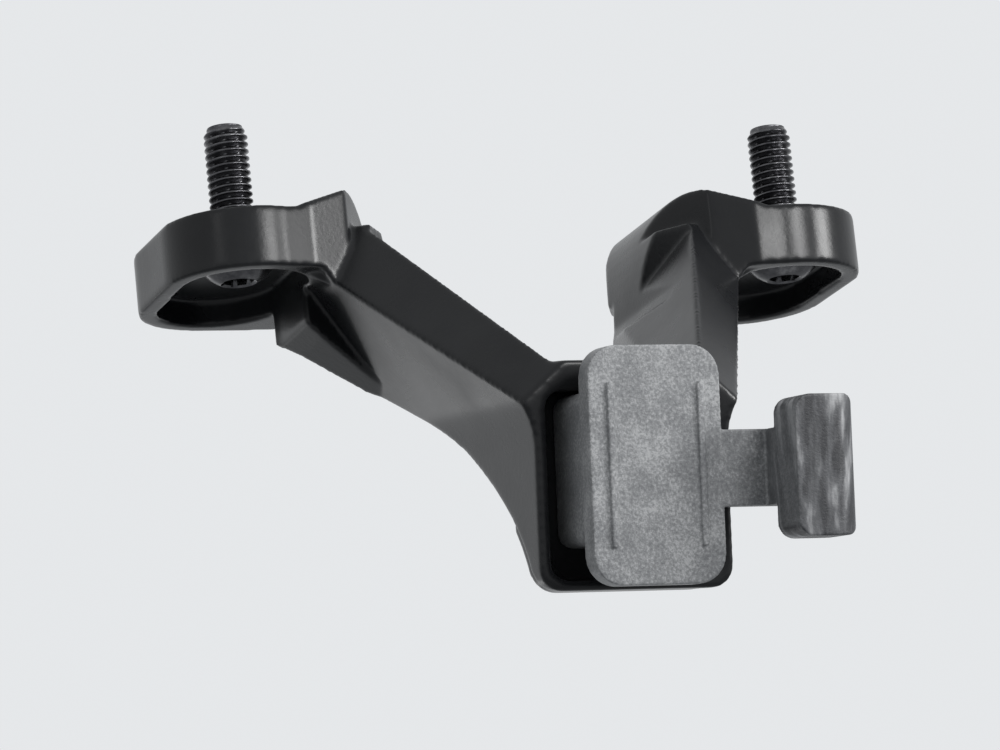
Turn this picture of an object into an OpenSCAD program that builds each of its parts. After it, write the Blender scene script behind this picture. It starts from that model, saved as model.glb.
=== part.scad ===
// Saddle accessory mount: a moulded bracket with two swept arms, its shoe and two screws.
// Z runs up along the screws, with the ears' mounting face at Z 0. X is to the rider's right, -Y rearward.

/* [View] */
// The piece to build, or all of them.

/* [Ears] */
// Distance between the two screw axes.
screw_spacing = 40; // [34:0.5:50]
// Radius of an ear's rounded ends.
ear_radius = 5.6; // [4.8:0.1:8]
// Height of an ear's rim.
ear_height = 4.2; // [3.4:0.1:6]
// How far the front end of an ear lies ahead of its screw.
ear_reach = 6; // [2:0.2:10]
// How far the rear end of an ear lies inboard of its screw.
ear_toe_in = 0.4; // [0:0.1:3]
// How far from the middle an ear's inner lobe ends.
lobe_x = 9.1; // [7:0.1:13]
// How far the shoulder rises above the mounting face, inboard of the screw.
shoulder_rise = 1.8; // [0:0.1:3]
// Width of the arch over the inner end of a lobe.
arch_width = 3.6; // [1:0.1:6]
// Height of that arch.
arch_height = 7.8; // [3:0.1:9]
// How far from the middle the web under the front of an ear reaches.
web_x = 17.3; // [15:0.1:19]
// Thickness of the rim around the pocket under an ear.
rim_wall = 1.3; // [0.9:0.1:2]
// Thickness of the ear under the screw head.
ear_floor = 2.3; // [1.6:0.1:3]

/* [Screws] */
// Diameter of a screw's shank.
screw_d = 3; // [3, 4]
// Diameter of the plain neck that a screw has inside its ear.
neck_d = 2.6; // [2.2:0.1:2.9]
// Diameter of a screw's domed head.
head_d = 5.7; // [5:0.1:7.6]
// Height of a screw's domed head.
head_h = 1.9; // [1.4:0.05:2.4]
// How far a shank stands above the mounting face.
shank_reach = 7; // [4:0.5:12]
// Radial clearance of a shank in its ear.
screw_clearance = 0.2; // [0.1:0.05:0.4]
// Width across flats of the key socket in a head.
key_flats = 2; // [1.5, 2, 2.5]
// Depth of the key socket.
key_depth = 1.1; // [0.8:0.05:1.4]

/* [Block] */
// How far the block's rear face lies behind the screw axes.
block_back = 17.8; // [14:0.1:24]
// How far the middle of the block hangs below the mounting face.
block_drop = 21.3; // [16:0.1:28]
// Tilt of the block against the mounting face.
block_tilt = 10; // [0:1:20]
// Width of the block at its rear face.
block_width = 13.6; // [12:0.1:18]
// Height of the block's top above its middle.
block_top = 6.9; // [5:0.1:10]
// Depth of the block's foot below its middle.
block_foot = 8.2; // [6:0.1:10]
// Rounding of the block's lower corners.
foot_round = 1.5; // [0.4:0.1:3]
// Depth of the block's middle.
block_depth = 6.2; // [5:0.1:10]
// Depth of the arms at the block's foot, where their sweep forward starts.
foot_depth = 1.2; // [0.8:0.1:3]
// How far the block's middle stands ahead of the arms' sweep.
block_toe = 2; // [0:0.1:3]
// Width of the socket in the block's rear face.
socket_width = 12; // [9.5:0.1:14]
// Wall between the socket and the block's foot.
socket_sill = 0.7; // [0.5:0.1:2]
// Clearance between the pedestal's top and the socket's top.
socket_gap = 0.2; // [0.1:0.05:1]
// Depth of the socket.
socket_depth = 3; // [1.5:0.1:4.5]
// Corner radius of the socket.
socket_corner = 1.2; // [0.4:0.1:2.5]

/* [Arms] */
// Slope of an arm's underside, seen from behind.
arm_slope = 53; // [40:0.1:65]
// Slope of an arm's upper side, seen from behind.
arm_top_slope = 58; // [45:0.1:68]
// Thickness of an arm's strap beside the block.
strap = 3; // [2:0.1:4.5]
// Radius of the bend from the block's side into an arm.
arm_bend = 5.5; // [4:0.5:16]
// Height on the block at which that bend starts.
bend_start = 1.2; // [-4:0.1:3]
// How far an arm's rear face turns outward.
arm_turn = 42; // [25:1:60]
// How far an arm's rear face leans upward.
arm_lean = 37; // [20:1:50]
// How far below the mounting face an arm ends, under the ear's lobe.
arm_ledge = 0.8; // [0.5:0.1:4]
// Distance from the middle at which an arm's rear face meets its ear.
crease_x = 16.15; // [13:0.05:19]
// How far that crease lies behind the screw axis.
crease_back = 5.1; // [3:0.1:7]

/* [Shoe] */
// Width of the shoe's plate.
plate_width = 9.2; // [8:0.1:12]
// Height of the plate.
plate_height = 15.6; // [12:0.1:20]
// How far the plate stands behind the block.
plate_proud = 4.1; // [2.5:0.1:7]
// Thickness of the plate.
plate_thick = 1.7; // [1:0.1:3]
// Corner radius of the plate.
plate_corner = 2; // [0.6:0.1:3.5]
// Width of the pedestal between plate and block.
pedestal_width = 8.8; // [6:0.1:11]
// Height of the pedestal.
pedestal_height = 10; // [7:0.1:14]
// Height of the shoe's middle above the block's middle.
shoe_rise = -0.3; // [-2:0.1:2]
// Distance between the plate's two ribs.
rib_spacing = 6.3; // [4:0.1:8]
// Length of a rib.
rib_length = 10.7; // [6:0.1:13]
// Width of a rib.
rib_width = 0.45; // [0.3:0.05:1]
// How far a rib stands above the plate.
rib_height = 0.25; // [0.1:0.05:0.6]
// Width of the foot that seats in the block.
foot_width = 6; // [4:0.1:8]
// Height of the foot.
foot_height = 7; // [5:0.1:9]
// Length of the foot.
foot_length = 1.6; // [1:0.1:2.5]
// Clearance around the foot.
foot_clearance = 0.05; // [0.02:0.01:0.2]

/* [Side pad] */
// Height of the tab that carries the pad.
tab_height = 5; // [3.5:0.1:7]
// Thickness of the tab.
tab_thick = 1.5; // [1:0.1:2.5]
// Distance from the middle of the plate to the pad.
pad_x = 7.7; // [6.5:0.1:12]
// Height of the tab's middle above the shoe's middle.
tab_rise = -0.3; // [-3:0.1:3]
// Height of the pad's middle above the tab's middle.
pad_rise = -0.2; // [-2:0.1:2]
// Height of the pad.
pad_height = 9.2; // [6:0.1:12]
// Depth of the pad.
pad_depth = 3.7; // [2.5:0.1:9]
// How far the pad stands behind the plate.
pad_proud = 5.1; // [3:0.1:8]
// Corner radius of the pad.
pad_corner = 1.1; // [0.3:0.1:2]
// Thickness of the pad's flat part.
pad_thick = 2.7; // [1.5:0.1:4]

/* [Hidden] */
$fn = 64;
half_spacing = screw_spacing / 2;
half_block = block_width / 2;
far = 80;
// Where the mounting face crosses the block's own upright axes.
crease_f = (block_back - crease_back) * cos(block_tilt) + block_drop * sin(block_tilt);
crease_u = block_drop * cos(block_tilt) - (block_back - crease_back) * sin(block_tilt);
// The bend's end, where an arm's underside turns straight.
bend_x = half_block + arm_bend * (1 - sin(arm_slope));
bend_u = bend_start + arm_bend * cos(arm_slope);
// The upper side meets the block's top here.
inner_x = crease_x - 3.5;
inner_root = inner_x - (crease_u - block_top) / tan(arm_top_slope);
// The sweep of the arms' front, as depth and height: its two handles from the foot and its end.
sweep_start = [3.3, 7.7];
sweep_middle = [14.8, 10.7];
sweep_front = ear_reach + ear_radius + block_back + 6.6;
sweep_drop = 6.4;
// The shoulder starts to rise here, clear of what the screw clamps.
shoulder_from = half_spacing - screw_d / 2 - 1.2;
lobe_back = crease_back - 1.25;
// The socket runs from its sill to just above the pedestal.
socket_from = socket_sill - block_foot;
socket_to = shoe_rise + pedestal_height / 2 + socket_gap;
head_curve = (pow(head_d / 2, 2) + pow(head_h, 2)) / (2 * head_h);

// A point on a cubic curve.
function cubic(a, b, c, d, t) =
    pow(1 - t, 3) * a + 3 * pow(1 - t, 2) * t * b + 3 * (1 - t) * t * t * c + t * t * t * d;

// Two equal circles and the straight band between them.
module slot_2d(a, b, r) {
    along = (b - a) / norm(b - a);
    side = [-along[1], along[0]] * r;
    translate(a)
        circle(r);
    translate(b)
        circle(r);
    polygon([a + side, b + side, b - side, a - side]);
}

module rounded_2d(w, h, r) {
    square([w - 2 * r, h], center = true);
    square([w, h - 2 * r], center = true);
    for (x = [-1, 1], y = [-1, 1])
        translate([x * (w / 2 - r), y * (h / 2 - r)])
            circle(r);
}

// Places its children in the block's own axes: X across, Y forward, Z up, from the rear face's middle.
module on_block() {
    translate([0, -block_back, -block_drop])
        rotate([block_tilt, 0, 0])
            children();
}

// Draws a profile seen from behind and runs it forward.
module run_forward(from, to) {
    translate([0, to, 0])
        rotate([90, 0, 0])
            linear_extrude(to - from)
                children();
}

// Draws a profile of depth and height and runs it across.
module run_across(width) {
    translate([-width / 2, 0, 0])
        rotate([90, 0, 90])
            linear_extrude(width)
                children();
}

// One arm seen from behind: the wall beside the block, the bend and the straight run to the ear.
module arm_2d() {
    lift = crease_u + 12;
    run = (lift - bend_u) / tan(arm_slope);
    inner_run = (lift - block_top) / tan(arm_top_slope);
    bend = [for (i = [0:12]) let (a = 180 - i * (90 - arm_slope) / 12)
        [half_block + arm_bend + arm_bend * cos(a), bend_start + arm_bend * sin(a)]];
    heel = [for (i = [0:6]) let (a = -90 + i * 15)
        [half_block - foot_round + foot_round * cos(a), foot_round - block_foot + foot_round * sin(a)]];
    polygon(concat(
        [[half_block - strap, -block_foot]],
        heel,
        bend,
        [[bend_x + run, lift], [inner_root + inner_run, lift], [inner_root, block_top]],
        [[half_block - strap, bend_start]]
    ));
}

// Depth and height of the whole bracket: straight behind, sweeping forward and up in front.
module side_2d(toe = 0) {
    p0 = [foot_depth, -block_foot];
    p1 = p0 + sweep_start;
    p2 = p0 + sweep_middle;
    p3 = [sweep_front, crease_u - sweep_drop];
    front = [for (i = [0:20]) cubic(p0, p1, p2, p3, i / 20) + [toe, 0]];
    polygon(concat([[0, -block_foot]], front, [[sweep_front + toe, far], [0, far]]));
}

// Seen from above: keeps the arms apart in front of the block.
module plan_2d() {
    polygon([
        [-1, 0],
        [far, 0],
        [far, far],
        [crease_x, far],
        [crease_x - 2, 33],
        [lobe_x + 1.6, 29],
        [lobe_x - 0.6, 24.5],
        [5.4, 10],
        [-1, 10]
    ]);
}

// Everything behind an arm's rear face, which turns outward and leans up from the block.
module behind_arm() {
    translate([8, 7.4, block_top + 4.2])
        rotate([0, 90 - arm_lean, arm_turn - 90])
            translate([0, 0, far / 2])
                cube(far, center = true);
}

// The gusset that carries an ear's inner lobe down onto the arm.
module gusset() {
    intersection() {
        run_forward(10, far)
            polygon([
                [lobe_x - 0.6, crease_u - 8.5],
                [lobe_x - 0.6, crease_u + 3],
                [crease_x, crease_u + 3],
                [crease_x, crease_u - 4.5]
            ]);
        translate([0, 0, -far / 2])
            linear_extrude(far)
                polygon([
                    [crease_x, 17],
                    [12.2, 16.5],
                    [lobe_x - 0.6, 21.5],
                    [lobe_x - 0.6, 24.5],
                    [lobe_x + 1.6, 29],
                    [crease_x - 2, 33],
                    [crease_x, 36]
                ]);
        run_across(far)
            side_2d();
    }
}

// The web that carries the front of an ear's rim down onto the arm and tapers off along it.
module web() {
    intersection() {
        run_forward(0, ear_reach + ear_radius)
            polygon([
                [web_x, -ear_height],
                [web_x - 1.3, -ear_height - 1.7],
                [web_x - 3.3, -ear_height - 3.4],
                [web_x - 8.7, -ear_height - 7.4],
                [web_x - 8.7, -ear_height - 3.8],
                [web_x - 7.8, -ear_height + 0.5],
                [web_x, -ear_height + 0.5]
            ]);
        translate([0, 0, -far / 2])
            linear_extrude(far)
                polygon([
                    [web_x - 2.1, 0.5],
                    [web_x, ear_reach + 1],
                    [web_x, ear_reach + 3.3],
                    [web_x - 3.3, ear_reach],
                    [web_x - 8.7, ear_reach - 1.8],
                    [web_x - 8.7, ear_reach - 3.8]
                ]);
        on_block()
            run_across(far)
                side_2d();
        translate([0, 0, -far / 2])
            linear_extrude(far)
                ear_plan_2d();
    }
}

// The shoulder's outline seen from behind: level at the screw, rising inboard, arched over the lobe.
module shoulder_2d() {
    crown = [lobe_x + arch_width, shoulder_rise];
    arch = [for (i = [0:12]) let (a = 90 + i * 7.5)
        crown + [arch_width * cos(a), arch_height * (sin(a) - 1)]];
    polygon(concat(
        [[-1, -far], [far, -far], [far, 0], [shoulder_from, 0]],
        arch,
        [[lobe_x - 0.6, shoulder_rise - arch_height - 1], [-1, -10.5]]
    ));
}

module arm() {
    intersection() {
        difference() {
            on_block() {
                intersection() {
                    run_forward(0, far)
                        arm_2d();
                    run_across(far)
                        side_2d();
                    translate([0, 0, -far / 2])
                        linear_extrude(far)
                            plan_2d();
                }
                gusset();
            }
            difference() {
                on_block()
                    behind_arm();
                translate([0, 0, -10])
                    linear_extrude(20)
                        ear_plan_2d();
            }
        }
        run_forward(-far / 2, far / 2)
            shoulder_2d();
        translate([-1, 0, -far])
            linear_extrude(far - arm_ledge)
                arm_reach_2d();
    }
}

// Seen from above: keeps an arm within its ear's outline in front and outside.
module arm_reach_2d() {
    translate([0, -far / 2])
        square([crease_x + 1.6, far / 2 + 2]);
    square([lobe_x + 2.2, ear_reach + 0.9]);
    ear_plan_2d();
}

// The outline of an ear's round part.
module ear_2d(r) {
    slot_2d([half_spacing - ear_toe_in, 0], [half_spacing - 0.5, ear_reach], r);
}

// The whole outline of an ear with its inner lobe.
module ear_plan_2d() {
    front = ear_reach + ear_radius;
    ear_2d(ear_radius);
    polygon([
        [half_spacing - ear_toe_in, -ear_radius],
        [crease_x, -crease_back],
        [lobe_x + 4.1, -lobe_back],
        [lobe_x + 1.2, 1],
        [lobe_x + 0.2, 3.2],
        [lobe_x, 4.6],
        [lobe_x, ear_reach + 0.3],
        [lobe_x + 1.1, front - 3],
        [lobe_x + 2.8, front - 1.2],
        [lobe_x + 4.8, front - 0.2],
        [half_spacing - 4, front],
        [half_spacing, front],
        [half_spacing, 0]
    ]);
}

// An ear's plate, its top following the shoulder.
module ear() {
    intersection() {
        translate([0, 0, -ear_height])
            linear_extrude(ear_height + shoulder_rise + 1)
                ear_plan_2d();
        run_forward(-far / 2, far / 2)
            shoulder_2d();
    }
}

module ear_pocket() {
    translate([0, 0, -ear_height - 20])
        linear_extrude(ear_height + 20 - ear_floor)
            ear_2d(ear_radius - rim_wall);
    translate([half_spacing, 0, -ear_height - 1])
        cylinder(r = screw_d / 2 + screw_clearance, h = ear_height + 2);
}

module bracket() {
    color("#26282b")
        difference() {
            union() {
                for (side = [0, 1])
                    mirror([side, 0, 0]) {
                        arm();
                        web();
                        ear();
                    }
                on_block()
                    block();
            }
            for (side = [0, 1])
                mirror([side, 0, 0])
                    ear_pocket();
            on_block() {
                run_forward(-1, socket_depth)
                    translate([0, (socket_from + socket_to) / 2])
                        rounded_2d(socket_width, socket_to - socket_from, socket_corner);
                run_forward(0, socket_depth + foot_length)
                    translate([0, shoe_rise])
                        square(
                            [foot_width + 2 * foot_clearance, foot_height + 2 * foot_clearance],
                            center = true
                        );
            }
        }
}

// The block between the arms, its top corners bevelled by the arms' rear faces.
module block() {
    rise = (block_top - block_foot) / 2;
    difference() {
        intersection() {
            run_forward(0, block_depth)
                translate([0, rise])
                    rounded_2d(block_width - 1.2, block_top + block_foot, foot_round);
            run_across(far)
                side_2d(block_toe);
        }
        for (side = [0, 1])
            mirror([side, 0, 0])
                behind_arm();
    }
}

module shoe() {
    color("#6c6f73")
        on_block()
            translate([0, 0, shoe_rise]) {
                run_forward(-plate_proud, plate_thick - plate_proud)
                    rounded_2d(plate_width, plate_height, plate_corner);
                run_forward(-plate_proud + plate_thick / 2, socket_depth)
                    rounded_2d(pedestal_width, pedestal_height, 1);
                run_forward(0, socket_depth + foot_length)
                    square([foot_width, foot_height], center = true);
                for (side = [-1, 1])
                    run_forward(-plate_proud - rib_height, -plate_proud + 0.2)
                        translate([side * rib_spacing / 2, 0])
                            rounded_2d(rib_width, rib_length, rib_width / 2 - 0.01);
                translate([0, 0, tab_rise])
                    side_pad();
            }
}

// The tab beside the plate, the neck that turns rearward and the pad on its end.
module side_pad() {
    tab_from = plate_width / 2 - 1;
    translate([tab_from, -plate_proud, -tab_height / 2])
        cube([pad_x - tab_from + 1, tab_thick, tab_height]);
    translate([pad_x, -plate_proud - pad_proud + 0.5, -tab_height / 2])
        cube([pad_thick - 0.6, pad_proud + tab_thick - 0.5, tab_height]);
    translate([0, 0, pad_rise])
        intersection() {
            translate([pad_x, pad_depth - plate_proud - pad_proud, -pad_height / 2])
                linear_extrude(pad_height)
                    pad_2d();
            run_forward(-plate_proud - pad_proud - 1, 0)
                translate([pad_x + (pad_thick + pad_depth / 2) / 2, 0])
                    rounded_2d(pad_thick + pad_depth / 2 + 0.02, pad_height, pad_corner);
        }
}

// The pad seen from above: flat inside, round outside.
module pad_2d() {
    translate([0, -pad_depth])
        square([pad_thick, pad_depth]);
    translate([pad_thick, -pad_depth / 2])
        circle(pad_depth / 2);
}

module ear_screw() {
    color("#3a3c40")
        translate([0, 0, -ear_floor])
            difference() {
                union() {
                    cylinder(d = neck_d, h = ear_floor);
                    translate([0, 0, ear_floor])
                        cylinder(d = screw_d, h = shank_reach);
                    intersection() {
                        translate([0, 0, head_curve - head_h])
                            sphere(head_curve);
                        translate([0, 0, -head_h - 1])
                            cylinder(d = head_d, h = head_h + 1);
                    }
                }
                translate([0, 0, -head_h - 1])
                    cylinder(d = key_flats / cos(30), h = key_depth + 1, $fn = 6);
            }
}

module ear_screw_left() {
    translate([-half_spacing, 0, 0])
        ear_screw();
}

module ear_screw_right() {
    translate([half_spacing, 0, 0])
        ear_screw();
}

bracket();
shoe();
ear_screw_left();
ear_screw_right();
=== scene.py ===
"""Looks for the saddle accessory mount: rounded mouldings, threaded screws, light and camera."""

import math

import bmesh
import bpy
from mathutils import Matrix, Vector


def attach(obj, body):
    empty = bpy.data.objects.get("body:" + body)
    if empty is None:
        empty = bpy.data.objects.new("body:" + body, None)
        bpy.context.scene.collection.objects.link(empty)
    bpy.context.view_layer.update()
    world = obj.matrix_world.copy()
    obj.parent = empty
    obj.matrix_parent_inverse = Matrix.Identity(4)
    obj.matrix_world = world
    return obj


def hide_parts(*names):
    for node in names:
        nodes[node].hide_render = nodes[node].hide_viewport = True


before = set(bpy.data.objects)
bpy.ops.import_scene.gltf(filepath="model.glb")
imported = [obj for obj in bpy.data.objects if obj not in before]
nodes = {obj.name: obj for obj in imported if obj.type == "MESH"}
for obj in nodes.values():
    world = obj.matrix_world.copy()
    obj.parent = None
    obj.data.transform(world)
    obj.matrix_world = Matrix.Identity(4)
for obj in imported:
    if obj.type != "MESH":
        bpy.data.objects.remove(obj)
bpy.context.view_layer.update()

MM = 0.001

# The photograph's camera, fitted to the bracket's own symmetry, in the row frame.
CAMERA_PLACE = Vector((-149.1, -384.7, -109.9)) * MM
CAMERA_RIGHT = Vector((0.961231, -0.263066, -0.082650))
CAMERA_UP = Vector((0.019052, -0.235660, 0.971649))
PHOTO_FOCAL_PX = 2000.0
PHOTO_WIDTH_PX = 1000.0
PHOTO_CENTRE_PX = (500.0, 375.0)
# The mount's middle in the photograph, which the camera turns to, and how much closer it looks.
MOUNT_PX = (652.0, 334.0)
CLOSER = 3.1
SENSOR_MM = 36.0
CLIP_START = 0.01
CLIP_END = 20

# The real sizes that the screws share with part.scad.
SCREW_SPACING = 40 * MM
SCREW_R = 1.5 * MM
NECK_R = 1.3 * MM
HEAD_R = 2.85 * MM
HEAD_H = 1.9 * MM
EAR_FLOOR = 2.3 * MM
SHANK_REACH = 7 * MM
KEY_R = 2 * MM / math.sqrt(3)
KEY_DEPTH = 1.1 * MM
PAD_X = 7.7 * MM

# The screws' finer forms, which only the scene has.
HEAD_EDGE = 0.12 * MM
HEAD_BEVEL = 0.08 * MM
NECK_TOP = -0.15 * MM
SOCKET_MOUTH = KEY_R * 1.06
SOCKET_LEAD = 0.12 * MM
SOCKET_CONE = 0.25 * MM
THREAD_PITCH = 0.5 * MM
THREAD_DEPTH = 0.3 * MM
THREAD_CREST = 1.25
THREAD_RUN_OUT = 1.2 * THREAD_PITCH
THREAD_ROWS_PER_PITCH = 8
THREAD_TURNS = 40
HEAD_TURNS = 48
DOME_STEPS = 14
WELD = 0.002 * MM
CRISP_DEGREES = 50

# The floor, and the world's strength as the camera sees it and as it lights the part.
FLOOR_HEIGHT = -0.75
FLOOR_SIZE = 6.0
SEEN = 0.82
AMBIENT = 0.5

# Each lamp: name, place, what it shines on, width, height and watts.
MIDDLE = (0, -0.006, -0.012)
RIGHT_EAR = (0.020, -0.004, -0.002)
LAMPS = (
    ("key", (0.418, -0.336, 0.126), MIDDLE, 0.17, 0.10, 1.8),
    ("left_strip", (-0.53, -0.46, 0.20), MIDDLE, 0.08, 0.20, 0.10),
    ("low_back", (-0.12, 0.57, -0.13), MIDDLE, 0.12, 0.03, 0.03),
    ("ear_strip", (0.047, -0.150, 0.036), RIGHT_EAR, 0.045, 0.022, 0.12),
)


# Materials


class Paint:
    """A principled material under construction, with the few nodes that these finishes share.

    It bears the name of the record's slot that its pieces take. Its colour and roughness are
    the shader's plain values, which stand wherever no node is linked to them.
    """

    def __init__(self, name, colour, roughness, metallic=0.0):
        self.material = bpy.data.materials.new(name)
        self.material["slot"] = name
        self.material.use_nodes = True
        self.tree = self.material.node_tree
        self.shader = self.tree.nodes["Principled BSDF"]
        self.shader.inputs["Base Color"].default_value = (*colour, 1.0)
        self.shader.inputs["Roughness"].default_value = roughness
        self.shader.inputs["Metallic"].default_value = metallic
        self.place = self.tree.nodes.new("ShaderNodeTexCoord").outputs["Object"]

    def noise(self, size, detail=3.0, rough=0.55, stretch=(1, 1, 1)):
        """Noise whose features measure about size metres, times stretch along each axis."""
        scale = self.tree.nodes.new("ShaderNodeMapping")
        scale.inputs["Scale"].default_value = [1 / size / k for k in stretch]
        node = self.tree.nodes.new("ShaderNodeTexNoise")
        node.inputs["Scale"].default_value = 1.0
        node.inputs["Detail"].default_value = detail
        node.inputs["Roughness"].default_value = rough
        self.tree.links.new(self.place, scale.inputs["Vector"])
        self.tree.links.new(scale.outputs["Vector"], node.inputs["Vector"])
        return node.outputs["Fac"]

    def spread(self, value, low, high, out_low, out_high):
        """value stretched from low..high to out_low..out_high."""
        node = self.tree.nodes.new("ShaderNodeMapRange")
        for name, number in (
            ("From Min", low),
            ("From Max", high),
            ("To Min", out_low),
            ("To Max", out_high),
        ):
            node.inputs[name].default_value = number
        self.tree.links.new(value, node.inputs["Value"])
        return node.outputs["Result"]

    def ramp(self, value, *stops):
        """Colours along value: stops are (place, (r, g, b))."""
        node = self.tree.nodes.new("ShaderNodeValToRGB")
        ramp = node.color_ramp
        while len(ramp.elements) < len(stops):
            ramp.elements.new(0.5)
        for element, (place, colour) in zip(ramp.elements, stops):
            element.position = place
            element.color = (*colour, 1.0)
        self.tree.links.new(value, node.inputs["Fac"])
        return node.outputs["Color"]

    def blend_in(self, value, share, added):
        """share of value, plus added."""
        node = self.tree.nodes.new("ShaderNodeMath")
        node.operation = "MULTIPLY_ADD"
        node.inputs[1].default_value = share
        self.tree.links.new(value, node.inputs[0])
        self.tree.links.new(added, node.inputs[2])
        return node.outputs[0]

    def either(self, choice, first, second):
        """Colour first where choice is 0 and second where it is 1."""
        node = self.tree.nodes.new("ShaderNodeMix")
        node.data_type = "RGBA"
        for name, value in (("Factor", choice), ("A", first), ("B", second)):
            socket = next(i for i in node.inputs if i.name == name and i.enabled)
            self.tree.links.new(value, socket)
        return next(o for o in node.outputs if o.enabled)

    def colour(self, socket):
        self.tree.links.new(socket, self.shader.inputs["Base Color"])

    def roughness(self, socket):
        self.tree.links.new(socket, self.shader.inputs["Roughness"])

    def bump(self, value, height, strength):
        """Relief of about height metres."""
        node = self.tree.nodes.new("ShaderNodeBump")
        node.inputs["Distance"].default_value = height
        node.inputs["Strength"].default_value = strength
        self.tree.links.new(value, node.inputs["Height"])
        self.tree.links.new(node.outputs["Normal"], self.shader.inputs["Normal"])


def black_nylon():
    """Satin black moulding, a little blotchy, with a faint tool texture."""
    paint = Paint("bracket_black", (0.016, 0.017, 0.019), 0.36)
    paint.shader.inputs["Specular IOR Level"].default_value = 0.24
    blotch = paint.noise(6 * MM, detail=4)
    fine = paint.noise(0.35 * MM, detail=2)
    paint.colour(
        paint.ramp(
            blotch,
            (0.3, (0.0055, 0.006, 0.007)),
            (0.7, (0.011, 0.0115, 0.0125)),
        )
    )
    paint.roughness(paint.spread(blotch, 0.25, 0.75, 0.23, 0.34))
    paint.bump(fine, 0.02 * MM, 0.35)
    return paint.material


def grained_grey():
    """Charcoal moulding with a spark-eroded grain, paler specks and a darker side pad whose pale
    streaks are painted highlights.
    """
    paint = Paint("shoe_grey", (0.16, 0.165, 0.17), 0.5)
    paint.shader.inputs["Specular IOR Level"].default_value = 0.4
    grain = paint.noise(0.2 * MM, detail=3, rough=0.75)
    cloud = paint.noise(2.6 * MM, detail=3)
    speckle = paint.blend_in(grain, 0.75, paint.spread(cloud, 0.2, 0.8, 0.0, 0.25))
    plate = paint.ramp(
        speckle,
        (0.36, (0.12, 0.124, 0.13)),
        (0.5, (0.19, 0.195, 0.20)),
        (0.63, (0.32, 0.325, 0.33)),
    )
    # The pad's own dark colour, with pale streaks along Z that are painted highlights.
    painted_highlight_streak = paint.noise(0.9 * MM, detail=3, rough=0.5, stretch=(1, 1, 6))
    pad = paint.ramp(
        painted_highlight_streak,
        (0.40, (0.022, 0.023, 0.026)),
        (0.54, (0.075, 0.077, 0.082)),
        (0.68, (0.30, 0.303, 0.31)),
    )
    across = paint.tree.nodes.new("ShaderNodeSeparateXYZ")
    paint.tree.links.new(paint.place, across.inputs["Vector"])
    fade = 0.1 * MM
    on_pad = paint.spread(across.outputs["X"], PAD_X - fade, PAD_X + fade, 0, 1)
    paint.colour(paint.either(on_pad, plate, pad))
    paint.roughness(paint.spread(grain, 0.3, 0.7, 0.38, 0.58))
    paint.bump(grain, 0.05 * MM, 0.55)
    return paint.material


def black_steel():
    """Blackened steel with rubbed, brighter patches."""
    paint = Paint("screw_steel", (0.09, 0.09, 0.095), 0.3, metallic=1.0)
    rub = paint.noise(1.1 * MM, detail=4, rough=0.6)
    fine = paint.noise(0.15 * MM, detail=2)
    paint.colour(
        paint.ramp(
            rub,
            (0.35, (0.055, 0.055, 0.06)),
            (0.6, (0.11, 0.11, 0.115)),
            (0.78, (0.24, 0.24, 0.245)),
        )
    )
    paint.roughness(paint.spread(rub, 0.3, 0.8, 0.34, 0.22))
    paint.bump(fine, 0.01 * MM, 0.3)
    return paint.material


# Pieces


def piece(name, mesh, material, node):
    """A mesh as a shown piece that rides on the root and stands for a CAD node."""
    obj = bpy.data.objects.new(name, mesh)
    bpy.context.scene.collection.objects.link(obj)
    mesh.name = name
    mesh.materials.clear()
    mesh.materials.append(material)
    mesh.shade_smooth()
    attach(obj, "root")
    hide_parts(node)
    return obj


def softened(name, node, material, voxel, rounds, keep):
    """A moulded copy of a CAD node, whose edges are rounded on a grid of voxel metres."""
    work = bpy.data.objects.new(name + "_work", nodes[node].data.copy())
    bpy.context.scene.collection.objects.link(work)
    weld = work.modifiers.new("weld", "WELD")
    weld.merge_threshold = 0.001 * MM
    remesh = work.modifiers.new("remesh", "REMESH")
    remesh.mode = "VOXEL"
    remesh.voxel_size = voxel
    smooth = work.modifiers.new("smooth", "SMOOTH")
    smooth.factor = 0.5
    smooth.iterations = rounds
    thin = work.modifiers.new("thin", "DECIMATE")
    thin.ratio = keep
    graph = bpy.context.evaluated_depsgraph_get()
    mesh = bpy.data.meshes.new_from_object(work.evaluated_get(graph))
    bpy.data.objects.remove(work)
    piece(name, mesh, material, node)


def ring(bm, radii, height):
    """Vertices spread evenly round Z, each at its own radius."""
    verts = []
    for k, radius in enumerate(radii):
        angle = 2 * math.pi * k / len(radii)
        place = (radius * math.cos(angle), radius * math.sin(angle), height)
        verts.append(bm.verts.new(place))
    return verts


def bridge(bm, low, high):
    """Quads between two rings."""
    for k in range(len(low)):
        m = (k + 1) % len(low)
        bm.faces.new((low[k], low[m], high[m], high[k]))


def head_profile():
    """(radius, height) points from the key socket's mouth over the dome and up the neck."""
    dome_r = (HEAD_R**2 + HEAD_H**2) / (2 * HEAD_H)
    centre = -EAR_FLOOR + (dome_r - HEAD_H)
    start = math.asin(SOCKET_MOUTH / dome_r)
    end = math.asin(HEAD_R / dome_r)
    points = []
    for k in range(DOME_STEPS):
        angle = start + (end - start) * k / DOME_STEPS
        points.append((dome_r * math.sin(angle), centre - dome_r * math.cos(angle)))
    points.append((HEAD_R, -EAR_FLOOR - HEAD_EDGE))
    points.append((HEAD_R - HEAD_BEVEL, -EAR_FLOOR))
    points.append((NECK_R, -EAR_FLOOR))
    points.append((NECK_R, NECK_TOP))
    return points


def add_head(bm, points):
    rings = [ring(bm, [radius] * HEAD_TURNS, height) for radius, height in points]
    for low, high in zip(rings, rings[1:]):
        bridge(bm, low, high)


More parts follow.
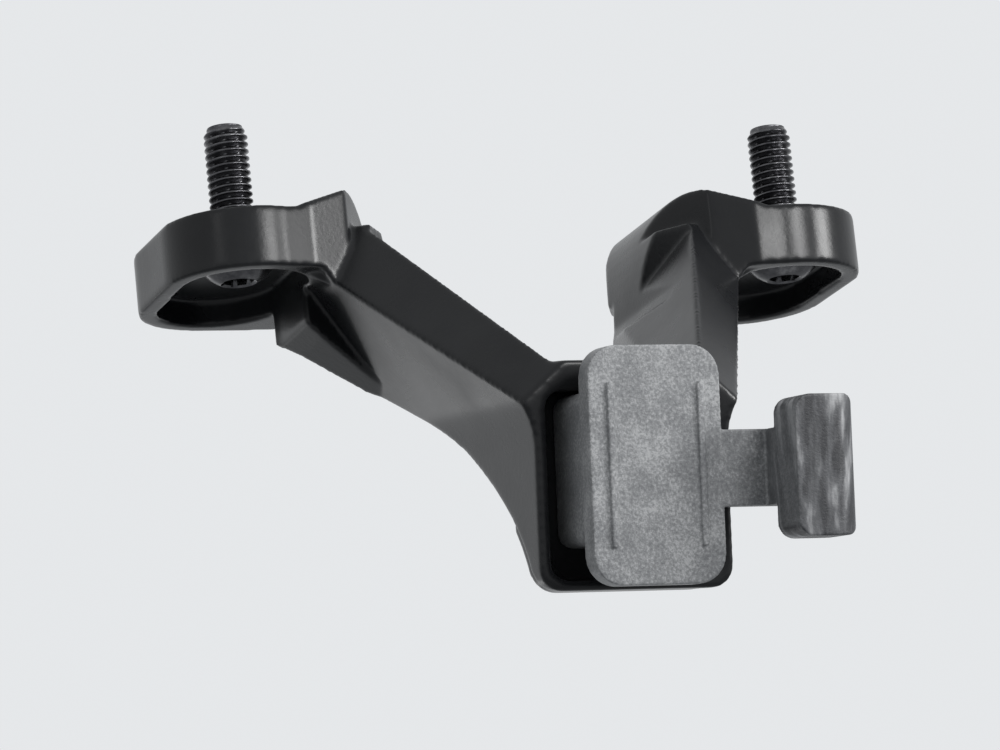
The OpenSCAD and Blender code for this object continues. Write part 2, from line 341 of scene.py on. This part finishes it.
def add_key_socket(bm, lip):
    """A round lip that turns into a hexagon, its floor a shallow cone."""
    hexagon = []
    for k in range(HEAD_TURNS):
        angle = 2 * math.pi * k / HEAD_TURNS
        off_flat = (angle + math.pi / 6) % (math.pi / 3) - math.pi / 6
        hexagon.append(KEY_R * math.cos(math.pi / 6) / math.cos(off_flat))
    bottom = -EAR_FLOOR - HEAD_H + KEY_DEPTH
    mouth = ring(bm, [SOCKET_MOUTH] * HEAD_TURNS, lip)
    top = ring(bm, hexagon, lip + SOCKET_LEAD)
    base = ring(bm, hexagon, bottom)
    bridge(bm, top, mouth)
    bridge(bm, base, top)
    tip = bm.verts.new((0, 0, bottom + SOCKET_CONE))
    for k in range(HEAD_TURNS):
        bm.faces.new((base[(k + 1) % HEAD_TURNS], base[k], tip))


def add_thread(bm):
    """A cylinder whose radius follows the helix, run out at the mounting face and at the tip."""
    rows = round(SHANK_REACH / THREAD_PITCH * THREAD_ROWS_PER_PITCH)
    below = ring(bm, [NECK_R] * THREAD_TURNS, NECK_TOP)
    for row in range(rows + 1):
        height = SHANK_REACH * row / rows
        run_in = min(1.0, height / THREAD_PITCH)
        run_out = min(1.0, (SHANK_REACH - height) / THREAD_RUN_OUT)
        radii = []
        for k in range(THREAD_TURNS):
            phase = (height / THREAD_PITCH - k / THREAD_TURNS) % 1.0
            crest = min(1.0, THREAD_CREST * (1.0 - abs(2.0 * phase - 1.0)))
            radii.append(SCREW_R - THREAD_DEPTH * (1.0 - crest * run_in * run_out))
        above = ring(bm, radii, height)
        bridge(bm, below, above)
        below = above
    bm.faces.new(below)


def screw(name, node, material, x):
    """A dome-head screw at x, head down, with a hexagonal key socket and a real thread."""
    bm = bmesh.new()
    points = head_profile()
    add_head(bm, points)
    add_key_socket(bm, points[0][1])
    add_thread(bm)
    bmesh.ops.remove_doubles(bm, verts=bm.verts, dist=WELD)
    bmesh.ops.recalc_face_normals(bm, faces=bm.faces)
    bmesh.ops.translate(bm, verts=bm.verts, vec=(x, 0, 0))
    mesh = bpy.data.meshes.new(name)
    bm.to_mesh(mesh)
    bm.free()
    obj = piece(name, mesh, material, node)
    crisp = obj.modifiers.new("crisp", "EDGE_SPLIT")
    crisp.split_angle = math.radians(CRISP_DEGREES)


# Light, floor and camera


def soft_box(name, place, aim, width, height, watts):
    """A softbox at place that shines on aim and that the camera doesn't see."""
    data = bpy.data.lights.new(name, "AREA")
    data.shape = "RECTANGLE"
    data.size = width
    data.size_y = height
    data.energy = watts
    lamp = bpy.data.objects.new(name, data)
    bpy.context.scene.collection.objects.link(lamp)
    lamp.visible_camera = False
    lamp.location = place
    lamp.rotation_mode = "QUATERNION"
    lamp.rotation_quaternion = (Vector(aim) - Vector(place)).to_track_quat("-Z", "Y")


def pale_world(seen, ambient):
    """A pale background for camera, glossy and transmission rays, and plain ambient light."""
    world = bpy.data.worlds.new("studio")
    bpy.context.scene.world = world
    world.use_nodes = True
    tree = world.node_tree
    background = tree.nodes["Background"]
    background.inputs["Color"].default_value = (0.96, 0.98, 1.0, 1)
    path = tree.nodes.new("ShaderNodeLightPath")
    shows = path.outputs["Is Camera Ray"]
    for ray in ("Is Glossy Ray", "Is Transmission Ray"):
        either = tree.nodes.new("ShaderNodeMath")
        either.operation = "MAXIMUM"
        tree.links.new(shows, either.inputs[0])
        tree.links.new(path.outputs[ray], either.inputs[1])
        shows = either.outputs[0]
    level = tree.nodes.new("ShaderNodeMapRange")
    level.inputs["To Min"].default_value = ambient
    level.inputs["To Max"].default_value = seen
    tree.links.new(shows, level.inputs["Value"])
    tree.links.new(level.outputs["Result"], background.inputs["Strength"])


def floor(height, size):
    """A plain pale floor, size metres square."""
    mesh = bpy.data.meshes.new("floor")
    h = size / 2
    mesh.from_pydata(
        [(-h, -h, height), (h, -h, height), (h, h, height), (-h, h, height)],
        [],
        [(0, 1, 2, 3)],
    )
    obj = bpy.data.objects.new("floor", mesh)
    bpy.context.scene.collection.objects.link(obj)
    paint = Paint("floor_pale", (0.8, 0.81, 0.82), 0.8)
    shade = paint.noise(0.4, detail=2)
    paint.colour(
        paint.ramp(shade, (0.3, (0.78, 0.79, 0.80)), (0.7, (0.82, 0.83, 0.84)))
    )
    mesh.materials.append(paint.material)


def photo_camera():
    """The photograph's camera in its own place, turned to the mount and looking closer."""
    back = CAMERA_RIGHT.cross(CAMERA_UP).normalized()
    across = (MOUNT_PX[0] - PHOTO_CENTRE_PX[0]) / PHOTO_FOCAL_PX
    down = (MOUNT_PX[1] - PHOTO_CENTRE_PX[1]) / PHOTO_FOCAL_PX
    look = (-back + CAMERA_RIGHT * across - CAMERA_UP * down).normalized()
    right = look.cross(CAMERA_UP).normalized()
    up = right.cross(look).normalized()
    turn = Matrix((right, up, -look)).transposed()
    data = bpy.data.cameras.new("camera")
    data.sensor_width = SENSOR_MM
    data.lens = PHOTO_FOCAL_PX / PHOTO_WIDTH_PX * SENSOR_MM * CLOSER
    data.clip_start = CLIP_START
    data.clip_end = CLIP_END
    camera = bpy.data.objects.new("camera", data)
    bpy.context.scene.collection.objects.link(camera)
    camera.matrix_world = Matrix.Translation(CAMERA_PLACE) @ turn.to_4x4()
    bpy.context.scene.camera = camera


NYLON = black_nylon()
GREY = grained_grey()
STEEL = black_steel()

softened("bracket_moulding", "bracket", NYLON, voxel=0.15 * MM, rounds=14, keep=0.48)
softened("shoe_moulding", "shoe", GREY, voxel=0.085 * MM, rounds=2, keep=0.5)
screw("ear_screw_left_threaded", "ear_screw_left", STEEL, x=-SCREW_SPACING / 2)
screw("ear_screw_right_threaded", "ear_screw_right", STEEL, x=SCREW_SPACING / 2)

pale_world(SEEN, AMBIENT)
floor(FLOOR_HEIGHT, FLOOR_SIZE)
for lamp in LAMPS:
    soft_box(*lamp)
photo_camera()

bpy.context.scene.view_settings.view_transform = "Standard"
